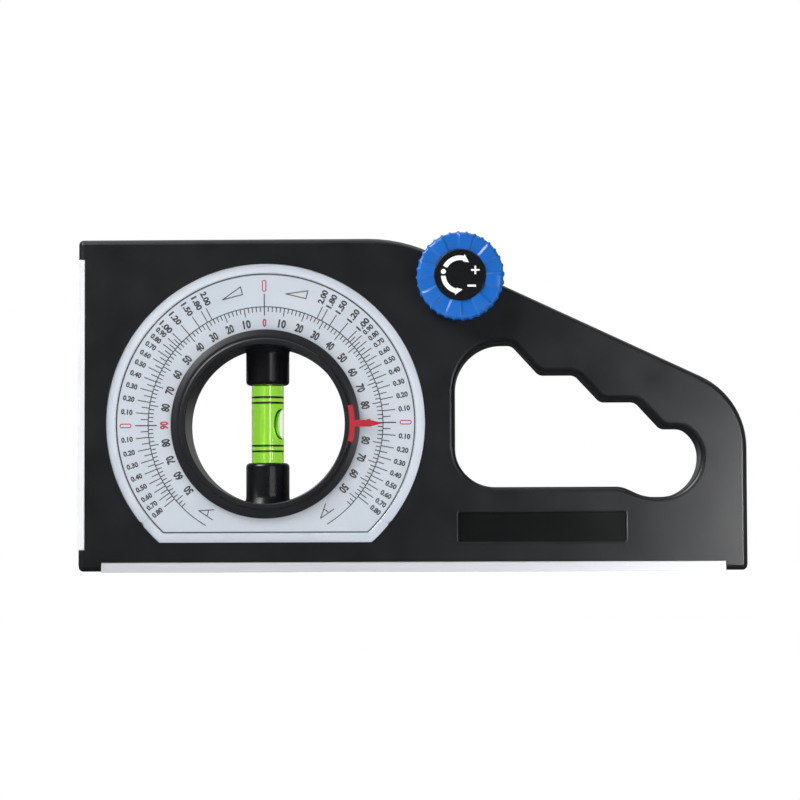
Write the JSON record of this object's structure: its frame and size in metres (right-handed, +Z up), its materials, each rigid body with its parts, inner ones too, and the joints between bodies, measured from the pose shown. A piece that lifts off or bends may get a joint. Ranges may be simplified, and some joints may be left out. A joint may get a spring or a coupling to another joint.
{
  "type": "inclinometer",
  "caption": "Flat magnetic slope meter: black case with finger-shaped grip opening, round degree dial, spirit vial in a geared turning ring, and a ribbed side knob.",
  "frame": {"origin": "middle of the base strip's lower face, under the middle of the case's length and thickness", "axes": "+Z up out of the base strip, +X along the case away from the side strip, -Y out of the dial towards the user"},
  "size_m": [0.2, 0.0306, 0.1012],
  "materials": {
    "case_plastic": "fine satin black",
    "ring_plastic": "half-gloss black",
    "strip_metal": "fine brushed",
    "magnet": "plain",
    "dial_silver": "printed satin silver",
    "clear_plastic": "clear polished",
    "steel": "plain zinc",
    "nylon": "natural white",
    "vial_acrylic": "clear polished",
    "vial_fluid": "clear green",
    "red_plastic": "translucent red",
    "blue_plastic": "half-gloss blue",
    "rubber": "matt black"
  },
  "bodies": {
    "case": {"front_housing": "case_plastic", "rear_cover": "case_plastic", "base_strip": "strip_metal", "side_strip": "strip_metal", "base_magnet_1": "magnet", "base_magnet_2": "magnet", "base_magnet_3": "magnet", "base_magnet_4": "magnet", "side_magnet_1": "magnet", "side_magnet_2": "magnet", "dial_plate": "dial_silver", "dial_window": "clear_plastic", "idler_pin": "steel", "friction_washer": "rubber", "case_screw_1": "steel", "case_screw_2": "steel", "case_screw_3": "steel", "case_screw_4": "steel", "case_screw_5": "steel", "case_screw_6": "steel", "case_screw_7": "steel", "case_screw_8": "steel"},
    "rotor": {"rotor_ring": "ring_plastic", "ring_gear": "nylon", "ring_clip": "steel", "vial_cup_upper": "ring_plastic", "vial_cup_lower": "ring_plastic", "vial_tube": "vial_acrylic", "vial_fluid": "vial_fluid", "vial_plug_upper": "ring_plastic", "vial_plug_lower": "ring_plastic", "pointer": "red_plastic"},
    "idler": {"idler_gear": "nylon"},
    "knob": {"knob_body": "blue_plastic", "knob_cap": "ring_plastic", "drive_shaft": "steel", "drive_pinion": "nylon", "knob_screw": "steel"}
  },
  "joints": [
    {"name": "rotor_spin", "type": "hinge", "parent": "case", "child": "rotor", "pos_m": [-0.0436, 0, 0.0444], "axis": [0, -1, 0], "continuous": true},
    {"name": "idler_spin", "type": "hinge", "parent": "case", "child": "idler", "pos_m": [-0.00351, 0, 0.07428], "axis": [0, -1, 0], "continuous": true},
    {"name": "knob_spin", "type": "hinge", "parent": "case", "child": "knob", "pos_m": [0.01493, 0, 0.08803], "axis": [0, -1, 0], "continuous": true}
  ],
  "couplings": [
    {"joint": "idler_spin", "follows": "rotor_spin", "ratio": -2.3333},
    {"joint": "knob_spin", "follows": "rotor_spin", "ratio": 4.375}
  ]
}
